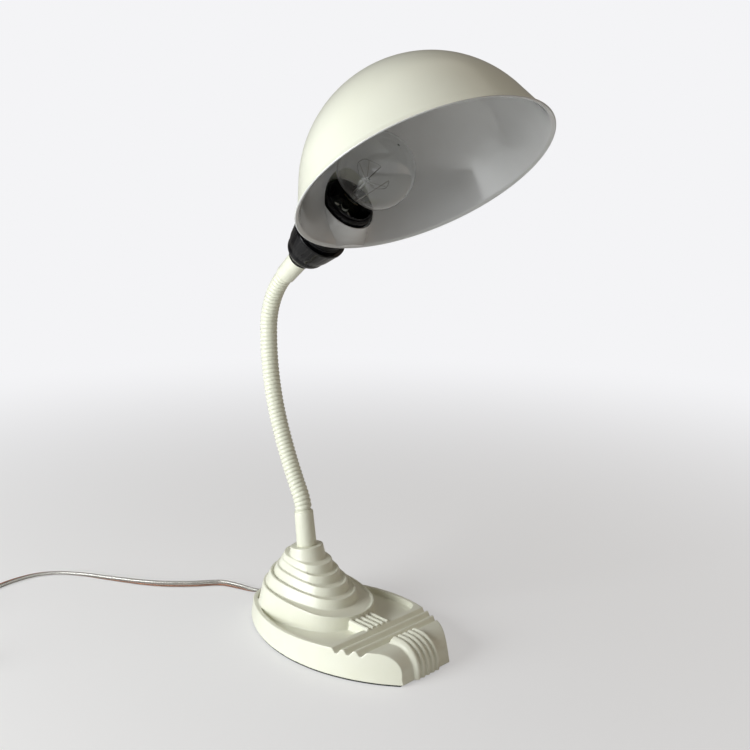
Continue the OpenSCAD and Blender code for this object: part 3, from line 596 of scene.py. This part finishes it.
def overFront(name, section, narrowTo):
    # a section, in mm off the deck, carried over the bend and down, narrowing towards the first long rib
    bendY, bendZ = base["bend"]
    r, ribX, bendSteps = base["frontR"], -2 * base["pitch"], 18
    stations = [(y, bendZ + r, 0, 1) for y in base["frontFrom"] + (bendY,)]
    for i in range(1, bendSteps + 1):
        a = math.radians(90 / bendSteps * i)
        stations.append((bendY - r * math.sin(a), bendZ + r * math.cos(a), -math.sin(a), math.cos(a)))
    stations.append((bendY - r, base["frontTo"], -1, 0))
    points, faces, count = [], [], len(section)
    for n, (y, z, ny, nz) in enumerate(stations):
        scale = 1 - (1 - narrowTo) * n / (len(stations) - 1)
        points += [(ribX + (x - ribX) * scale, y + off * ny, z + off * nz) for x, off in section]
    for n in range(len(stations) - 1):
        faces += [(n * count + i, n * count + (i + 1) % count, (n + 1) * count + (i + 1) % count,
                   (n + 1) * count + i) for i in range(count)]
    faces += [tuple(range(count)), tuple(range(len(points) - 1, len(points) - count - 1, -1))]
    obj = meshFrom(name, points, faces)
    faceOutwards(obj)
    return obj


# the swell beside the first long rib
flank = overFront("flank", base["flank"], base["flankNarrows"])

casting = cadCopy("base_casting", "baseCasting", flatten=0)
trayCut.data.transform(toMetres)
cutWith(casting, trayCut)
for extra in [bars, flank] + shortRibs:
    extra.data.transform(toMetres)
casting = joined("baseCasting", casting, bars, flank, *shortRibs)
applyModifier(casting, "REMESH", mode="VOXEL", voxel_size=base["voxelMm"] * mm, use_smooth_shade=True)
applyModifier(casting, "SMOOTH", factor=0.5, iterations=base["smoothing"])
triangles = 2 * len(casting.data.polygons)
applyModifier(casting, "DECIMATE", ratio=min(1.0, base["mostTriangles"] / triangles))
print("base casting", triangles, "triangles, kept", len(casting.data.polygons))
smoothByAngle(casting, base["smoothDeg"])
dress(casting, "base", "enamel_ivory", castEnamel, "base_casting")

# solids that stay as they are and only take their material
for node, material in (("base_pad", felt), ("inner_cord", clearVinyl), ("stem_nipple", brass),
                       ("stem_washer", zincPlate), ("stem_nut", zincPlate), ("holder_nipple", brass),
                       ("holder_nut", zincPlate), ("centre_contact", brass), ("holder_leads", clearVinyl),
                       ("terminal_screws", brass), ("switch_screws", zincPlate)):
    cadNodes[node].data.materials.clear()
    cadNodes[node].data.materials.append(material)
bushing = cadCopy("cord_bushing", "cordBushing", soften=0.3)
dress(bushing, "base", "rubber_black", blackRubber, "cord_bushing")
ferruleRim = {"heights": (-0.6, 0.6), "radii": (7.0, 7.6), "newRadius": 6.3}
for node, name, body, end in (("lower_ferrule", "lowerFerrule", "base", 0),
                              ("upper_ferrule", "upperFerrule", "head", neckLength)):
    ferrule = cadCopy(node, name, soften=0.35, sharp=35)
    reshape(ferrule, neckPlace(end), **ferruleRim)
    dress(ferrule, body, "enamel_ivory", windingEnamel, node)


# neck: five shallow touching turns a stretch, over a sleeve, with the ball of its joint
wire = {
    "crown": 2.3,  # radius of a turn's outside, the radius its centre lies on, and half its arc in degrees
    "middle": 5.2,
    "halfAngle": 51,
    "root": 5.7,
    "rootHalf": 1.2,
    "steps": 40,
    "ballSteps": 32,
    "sleeveSteps": (36, 8),  # round and along
    "sleeve": 6.1,  # radii of the sleeve, how far it stops short of a joint and how far it enters a ferrule
    "inside": 3.9,
    "short": 0.6,
    "enters": 6.5,
    "closing": (6.1, 1.2, 1.25),  # turn that closes each end: where it lies, its radius, how far out
    "ball": 5.2,
    "ballWall": 1.6,
    "ballDeg": 42,
    "smoothDeg": 50,
}
firstTurn = 1.45
stretchRise = (neckLength - 2 * firstTurn) / neckShape["stretches"]
endBodies = {1: "base", neckShape["stretches"]: "head"}


def bendOntoNeck(obj, start):
    for vertex in obj.data.vertices:
        x, y, z = vertex.co
        vertex.co = neckPlace(start + z) @ Vector((x, y, 0))


def capEnds(obj):  # closes the two open ends of a winding
    pickOnly(obj)
    bpy.ops.object.mode_set(mode="EDIT")
    bpy.ops.mesh.select_all(action="DESELECT")
    bpy.ops.mesh.select_non_manifold()
    bpy.ops.mesh.edge_face_add()
    bpy.ops.mesh.select_all(action="SELECT")
    bpy.ops.mesh.normals_make_consistent(inside=False)
    bpy.ops.object.mode_set(mode="OBJECT")


for number in range(1, neckShape["stretches"] + 1):
    start = firstTurn + (number - 1) * stretchRise
    section = arc(wire["middle"], 0, wire["crown"], -wire["halfAngle"], wire["halfAngle"], 10)
    foot = [(wire["root"], -wire["rootHalf"]), (wire["root"], wire["rootHalf"])]
    ridge = turned("ridge", foot[:1] + section + foot[::-1], wire["steps"],
                   rise=stretchRise / neckShape["turns"], turns=neckShape["turns"])
    capEnds(ridge)
    bendOntoNeck(ridge, start)
    low = -wire["enters"] if number == 1 else wire["short"]
    high = stretchRise + (wire["enters"] if number == neckShape["stretches"] else -wire["short"])
    around, along = wire["sleeveSteps"]
    walls = [(wire["sleeve"], low + (high - low) * i / along) for i in range(along + 1)]
    walls += [(wire["inside"], low + (high - low) * i / along) for i in range(along, -1, -1)]
    sleeve = turned("sleeve", walls + walls[:1], around)
    bendOntoNeck(sleeve, start)
    parts = [ridge, sleeve]
    lies, thick, past = wire["closing"]
    for end, height in ((1, -past), (neckShape["stretches"], stretchRise + past)):
        if number == end:
            circle = arc(lies, height, thick, 0, 360, 12)
            last = turned("last", circle[:-1] + circle[:1], wire["steps"])
            bendOntoNeck(last, start)
            parts.append(last)
    if number < neckShape["stretches"]:
        outer = arc(0, 0, wire["ball"], -wire["ballDeg"], wire["ballDeg"], 12)
        inner = arc(0, 0, wire["ball"] - wire["ballWall"], wire["ballDeg"], -wire["ballDeg"], 6)
        ball = turned("ball", outer + inner + outer[:1], wire["ballSteps"])
        bendOntoNeck(ball, number * stretchLength)
        parts.append(ball)
    stretch = joined("neckStretch%02d" % number, *parts)
    stretch.data.transform(toMetres)
    smoothByAngle(stretch, wire["smoothDeg"])
    dress(stretch, endBodies.get(number, "neck_%02d" % number), "enamel_ivory", windingEnamel,
          "neck_coil_%02d" % number)
print("neck wound")


# lampholder: the solids with their edges eased, and the skirt's mouth turned out
skirtMouth = {"heights": (79.0, 79.6), "radii": (16.0, 17.2), "newRadius": 18.5}
for node, name, body, slot, material, soften in (
        ("holder_cap", "holderCap", "head", "phenolic", phenolic, 0.35),
        ("holder_skirt", "holderSkirt", "head", "phenolic", phenolic, 0.2),
        ("holder_insert", "holderInsert", "head", "porcelain", porcelain, 0.25),
        ("outer_ring", "rearClampRing", "rear_ring", "phenolic", phenolic, 0.25),
        ("shade_ring", "frontClampRing", "front_ring", "phenolic", phenolic, 0.25)):
    piece = cadCopy(node, name, soften=soften, sharp=32)
    if node == "holder_skirt":
        reshape(piece, holderPlace, **skirtMouth)
    dress(piece, body, slot, material, node)
shell = cadCopy("screw_shell", "screwShell", sharp=40)
dress(shell, "head", "brass", brass, "screw_shell")
print("lampholder ready")


# dome: a spun half ball over a steep cone, rolled outwards at the foot, with a seat in its side
dome = {
    "radius": 93.1,
    "drop": 5.7,  # how far the ball's centre lies below the rim's plane
    "skirt": 20.5,  # degrees: the cone's slope, and where it leaves the ball
    "sheet": 1.0,
    "steps": 160,
    "seatSteps": 96,
    "bead": 0.75,  # radius of the rolled edge, its middle out from the foot, and its arc in degrees
    "beadOut": 1,
    "beadArc": (122, -150),
    "beadFrom": 2.6,  # height over the rim at which the wall turns into the bead
    "roll": [(-0.9, 0.8), (-1.6, 1.5)],  # from the bead back to the inside, measured from the foot's radius
    "cup": 23.2,  # inside of the seat's wall, and the hole in its floor
    "hole": 19.8,
    "overlap": 0.5,
    "cut": (36, 108),
    "seat": 70.5,  # height of the seat's floor along the lampholder, and how far its wall goes each way
    "sunk": 25,
    "proud": 30,
    "nearly": 0.02,  # keeps two faces from falling together
    "smoothDeg": 32,
}
dome["flare"] = [  # rounded collar round the seat, from its inside over the lip and out onto the dome
    (dome["cup"] + 0.05, 50), (dome["cup"] + 0.05, 74), (dome["cup"] + 0.5, 74.3), (dome["cup"] + 1.0, 74),
    (24.7, 71), (25.6, 67), (27, 63.5), (29, 60.5), (32, 58), (32, 50), (dome["cup"] + 0.05, 50)]
skirtAngle = math.radians(dome["skirt"])
skirtTan = math.tan(skirtAngle)
skirtTop = dome["radius"] * math.sin(skirtAngle) - dome["drop"]
footR = dome["radius"] * math.cos(skirtAngle) + skirtTop * skirtTan


def domeSection(depth, lowest):
    points = arc(0, -dome["drop"], dome["radius"] - depth, 90, dome["skirt"], 44)
    points[0] = (0, points[0][1])
    x, z = points[-1]
    steps = 8
    points += [(x + (z - lowest) * skirtTan * i / steps, z - (z - lowest) * i / steps)
               for i in range(1, steps + 1)]
    return points


def onHolder(name, section):
    return turned(name, section, dome["seatSteps"], holderPlace)


def cupWall(low, high):
    cup, wall = dome["cup"], dome["cup"] + dome["sheet"]
    return onHolder("cup", [(cup, low), (wall, low), (wall, high), (cup, high), (cup, low)])


def domeBlock(depth):
    return turned("block", domeSection(depth, 0.0) + [(0, 0)], dome["steps"], domePlace)


rolled = arc(footR + dome["beadOut"], dome["bead"], dome["bead"], *dome["beadArc"], 16)
rolled += [(footR + x, z) for x, z in dome["roll"]]
sheetSection = (domeSection(0, dome["beadFrom"]) + rolled
                + domeSection(dome["sheet"], dome["beadFrom"])[::-1])
shadeShell = turned("shadeDome", sheetSection, dome["steps"], domePlace)
cutR, (cutLow, cutHigh) = dome["cup"] + dome["overlap"], dome["cut"]
cutWith(shadeShell, onHolder("hole", [(0, cutLow), (cutR, cutLow), (cutR, cutHigh), (0, cutHigh)]))

sunk = cupWall(dome["seat"] - dome["sunk"], dome["seat"] + dome["sheet"])
cutWith(sunk, domeBlock(dome["nearly"]), "INTERSECT")
proud = cupWall(dome["seat"] + dome["nearly"], dome["seat"] + dome["proud"])
cutWith(proud, domeBlock(dome["sheet"] - dome["nearly"]))
seatLow, seatHigh = dome["seat"], dome["seat"] + dome["sheet"]
seat = onHolder("seat", [(dome["hole"], seatLow), (cutR, seatLow), (cutR, seatHigh),
                         (dome["hole"], seatHigh), (dome["hole"], seatLow)])
collar = onHolder("collar", dome["flare"])
cutWith(collar, domeBlock(dome["sheet"] + dome["nearly"]), "INTERSECT")
shade = joined("shadeDome", shadeShell, sunk, proud, seat, collar)
shade.data.transform(toMetres)
smoothByAngle(shade, dome["smoothDeg"])
shade.data.materials.clear()
shade.data.materials.append(spunEnamel)
# the second material is the reflector enamel, greyed as painted shade
shade.data.materials.append(shadedReflectorEnamel)
inDome = (toMetres @ domePlace).inverted()
reflector = {
    "depth": 0.6 * dome["sheet"],  # a face deeper in the sheet than this is the inside
    "from": 1.6,
    "shadedBeadUpTo": 2,  # and so is one of the bead that looks down: a painted shade line under the rim
    "facing": -0.35,
}


def wallRadius(z):  # outside of the dome at height z over its rim
    if z > skirtTop:
        return math.sqrt(max(dome["radius"] ** 2 - (z + dome["drop"]) ** 2, 0))
    return dome["radius"] * math.cos(skirtAngle) + (skirtTop - z) * skirtTan


for face in shade.data.polygons:  # the inside takes the greyed reflector enamel, and the underside of the bead takes it too as a painted shade line
    local = inDome @ face.center
    depth = wallRadius(local.z) - math.hypot(local.x, local.y)
    facing = (inDome.to_3x3() @ face.normal).normalized().z
    inside = depth > reflector["depth"] and local.z > reflector["from"]
    if inside or (local.z <= reflector["shadedBeadUpTo"] and facing < reflector["facing"]):
        face.material_index = 1
dress(shade, "shade", "enamel_ivory", None, "shade_dome")
print("dome spun", len(shade.data.polygons), "faces")


# bulb
glass = cadCopy("bulb_glass", "bulbGlass", flatten=0, sharp=40)
dress(glass, "bulb", "bulb_glass", bulbGlass, "bulb_glass")
stem = cadCopy("bulb_stem", "bulbStem", flatten=0, sharp=35)
dress(stem, "bulb", "bulb_glass", stemGlass, "bulb_stem")
for node, name, slot, material in (("bulb_cap", "bulbCap", "cap_metal", capAluminium),
                                   ("bulb_insulator", "bulbInsulator", "glass_black", vitrite),
                                   ("bulb_contact", "bulbContact", "solder", solder),
                                   ("bulb_supports", "bulbSupports", "nickel_wire", nickelWire)):
    dress(cadCopy(node, name, sharp=35), "bulb", slot, material, node)

filamentShape = {
    "ring": 14.0,  # radius of the open ring it hangs in, where it starts and how far it goes round
    "start": 30,
    "sweep": 300,
    "height": 111.2,
    "waves": 5,  # sags between its supports
    "sag": 0.8,
    "coil": 0.272,  # wound coarser than a real one, so that it shows
    "wire": 0.055,
    "coilTurns": 120,
    "stepsPerTurn": 7,
}
points = []
steps = filamentShape["coilTurns"] * filamentShape["stepsPerTurn"]
for i in range(steps + 1):
    t = i / steps
    around = math.radians(filamentShape["start"] + filamentShape["sweep"] * t)
    twist = math.tau * filamentShape["coilTurns"] * t
    r = filamentShape["ring"] + filamentShape["coil"] * math.cos(twist)
    z = (filamentShape["height"] + filamentShape["coil"] * math.sin(twist)
         - filamentShape["sag"] * math.sin(math.pi * filamentShape["waves"] * t) ** 2)
    points.append(Vector((r * math.cos(around), r * math.sin(around), z)))
curve = bpy.data.curves.new("filament", "CURVE")
curve.dimensions = "3D"
curve.bevel_depth = filamentShape["wire"]
curve.bevel_resolution = 1
line = curve.splines.new("POLY")
line.points.add(len(points) - 1)
for point, target in zip(points, line.points):
    target.co = (*point, 1)
coiled = bpy.data.objects.new("filamentCoil", curve)
bpy.context.scene.collection.objects.link(coiled)
pickOnly(coiled)
bpy.ops.object.convert(target="MESH")
coiled = bpy.context.object
coiled.data.transform(toMetres @ holderPlace)
dress(coiled, "bulb", "tungsten", tungsten, "filament")
print("bulb ready")


# cord: clear flat twin from the bushing to the switch, then to the coil and the plug
cordShape = {
    "lobe": 1.55,  # radius of each half of the sheath, and how far its centre lies off the middle
    "spacing": 1.55,
    "wrapDeg": 126,  # how far round each half goes from its outer side to the groove between them
    "clear": 0.1,  # over the desk
    "wireRadius": 0.92,
    "strandLay": 3.0,  # mm along the cord for one band of the strands' pattern, and bands round it
    "strandBands": 3,
    "stepMm": 1.6,
    "smoothDeg": 50,
}
coil = {
    "middle": (-352, 190),
    "lanes": (41.3, 35, 28.7),
    "levels": (1.65, 4.8),
    "start": 80,  # degrees: where it starts, how far it turns, and the steps it is drawn in
    "turned": 1990,
    "stepDeg": 10,
    "moveDeg": 60,
    # end of each move in degrees, with the lane and the level after it
    "moves": [(360, 1, 0), (720, 2, 0), (1050, 2, 1), (1375, 1, 1), (1695, 0, 1)],
}

# points of the cord: x, y, z (None where it lies on the desk) and its roll in degrees
leadRoute = [
    (0, 56, 6.6, 0), (-0.6, 62, 5.9, 8), (-2, 70, 4.4, 25), (-4, 79, 3.4, 48), (-7, 92, None, 68),
    (-13, 108, None, 78), (-22, 117, None, 80), (-33, 125, None, 80), (-45, 136, None, 80),
    (-57, 149, None, 76), (-68, 165, None, 68), (-77, 181, None, 58), (-88, 202, None, 46),
    (-98, 222, None, 35), (-111, 241, None, 25), (-121, 250, None, 18), (-133, 256, None, 12),
    (-150, 258, None, 6), (-168, 256, None, 2), (-186, 251, None, 0), (-203, 245, 2.6, 0),
    (-218, 240, 4.6, 0), (-229, 237, 6, 0)]
linkRoute = [
    (-279.4, 223.4, 6, 0), (-287, 221.8, 5, 0), (-296, 222.3, 3.2, 0), (-308, 224.5, 1.9, 0),
    (-322, 227, None, 0), (-336, 229.3, None, 0)]
tailRoute = [(-338, 148, 4.9, 0), (-324, 146.2, 5.5, 0), (-311, 143.5, 6.8, 0), (-298, 139.5, 8, 0)]


def lyingZ(roll):  # height of the cord's middle where its lower half rests on the desk
    return cordShape["lobe"] + cordShape["spacing"] * math.sin(math.radians(roll)) + cordShape["clear"]


def ease(t):
    t = min(max(t, 0.0), 1.0)
    return t * t * (3 - 2 * t)


def coilPoint(degrees):  # lane by lane inwards on the desk, then lane by lane outwards on top
    radius, height = coil["lanes"][0], coil["levels"][0]
    for stop, lane, level in coil["moves"]:
        t = ease((degrees - stop + coil["moveDeg"]) / coil["moveDeg"])
        radius += (coil["lanes"][lane] - radius) * t
        height += (coil["levels"][level] - height) * t
    angle = math.radians(coil["start"] + degrees)
    x, y = coil["middle"]
    return x + radius * math.cos(angle), y + radius * math.sin(angle), height, 0


def spacedRoute(route, stepMm):  # smooth line through the points, with points at even steps
    route = [Vector((x, y, lyingZ(roll) if z is None else z, roll)) for x, y, z, roll in route]
    fine, finer = [], 8
    for i in range(len(route) - 1):
        a, b = route[i], route[i + 1]
        before, after = route[max(i - 1, 0)], route[min(i + 2, len(route) - 1)]
        for k in range(finer):
            t = k / finer
            fine.append(0.5 * ((2 * a) + (b - before) * t + (2 * before - 5 * a + 4 * b - after) * t * t
                               + (3 * a - before - 3 * b + after) * t ** 3))
    fine.append(route[-1])
    kept, run = [fine[0]], 0.0
    for a, b in zip(fine, fine[1:]):
        run += (b.xyz - a.xyz).length
        if run >= stepMm:
            kept.append(b)
            run = 0.0
    if (kept[-1].xyz - fine[-1].xyz).length < 0.5 * stepMm:
        kept.pop()
    return kept + [fine[-1]]


def swept(name, line, section, lay):  # a closed section carried along the line, rolled with it
    points, faces, count = [], [], len(section)
    for i, here in enumerate(line):
        ahead = (line[min(i + 1, len(line) - 1)] - line[max(i - 1, 0)]).xyz.normalized()
        side = Vector((-ahead.y, ahead.x, 0)).normalized()
        up = ahead.cross(side)
        roll = math.radians(here.w)
        for x, y in section:
            across = x * math.cos(roll) - y * math.sin(roll)
            raised = x * math.sin(roll) + y * math.cos(roll)
            points.append(here.xyz + side * across + up * raised)
    for i in range(len(line) - 1):
        for k in range(count):
            faces.append((i * count + k, (i + 1) * count + k, (i + 1) * count + (k + 1) % count,
                          i * count + (k + 1) % count))
    faces.append(tuple(range(count)))
    faces.append(tuple(range((len(line) - 1) * count + count - 1, (len(line) - 1) * count - 1, -1)))
    obj = meshFrom(name, points, faces)
    layer = obj.data.uv_layers.new(name="lay")
    for face in obj.data.polygons:
        for k, corner in zip(face.vertices, face.loop_indices):
            ring, spot = divmod(k, count)
            if spot == 0 and max(v % count for v in face.vertices) == count - 1 and len(face.vertices) == 4:
                spot = count
            layer.data[corner].uv = (ring * cordShape["stepMm"] / lay,
                                       spot / count * cordShape["strandBands"])
    faceOutwards(obj)
    return obj


def twinCord(name, route):
    line = spacedRoute(route, cordShape["stepMm"])
    lobe, gap, wrap = cordShape["lobe"], cordShape["spacing"], cordShape["wrapDeg"]
    section = arc(gap, 0, lobe, -wrap, wrap, 14) + arc(-gap, 0, lobe, 180 - wrap, 180 + wrap, 14)
    sheath = swept("sheath", line, section, 1)
    sheath.data.materials.append(clearVinyl)
    strands = []
    for shift, material in ((-gap, copperStrands), (gap, tinnedStrands)):
        strand = swept("strand", line, arc(shift, 0, cordShape["wireRadius"], 0, 330, 11),
                       cordShape["strandLay"])
        strand.data.materials.append(material)
        strands.append(strand)
    cord = joined(name, sheath, *strands)
    cord.data.transform(toMetres)
    smoothByAngle(cord, cordShape["smoothDeg"])
    centre = [tuple(point.xyz * mm) for point in line]
    length = sum((Vector(a) - Vector(b)).length for a, b in zip(centre, centre[1:]))
    print(name, "is", round(length, 3), "m long")
    return cord, centre


supply, supplyLine = twinCord("supplyCord", leadRoute)
dress(supply, "base", "cord_clear", None, "supply_cord")
windings = [coilPoint(degrees) for degrees in range(0, coil["turned"] + 1, coil["stepDeg"])]
lead, leadLine = twinCord("plugLead", linkRoute + windings + tailRoute)
dress(lead, "base", "cord_clear", None, "switch_cord", "cord_coil", "plug_cord")

for node, name, body, slot, material, soften in (
        ("switch_base", "switchBase", "base", "phenolic", phenolic, 0.5),
        ("switch_cover", "switchCover", "base", "phenolic", phenolic, 0.6),
        ("switch_wheel", "switchWheel", "wheel", "wheel_plastic", nylon, 0.12),
        ("plug_body", "plugBody", "base", "rubber_black", blackRubber, 0.6),
        ("plug_blades", "plugBlades", "base", "brass", brass, 0.15)):
    dress(cadCopy(node, name, soften=soften), body, slot, material, node)

print("cord laid")
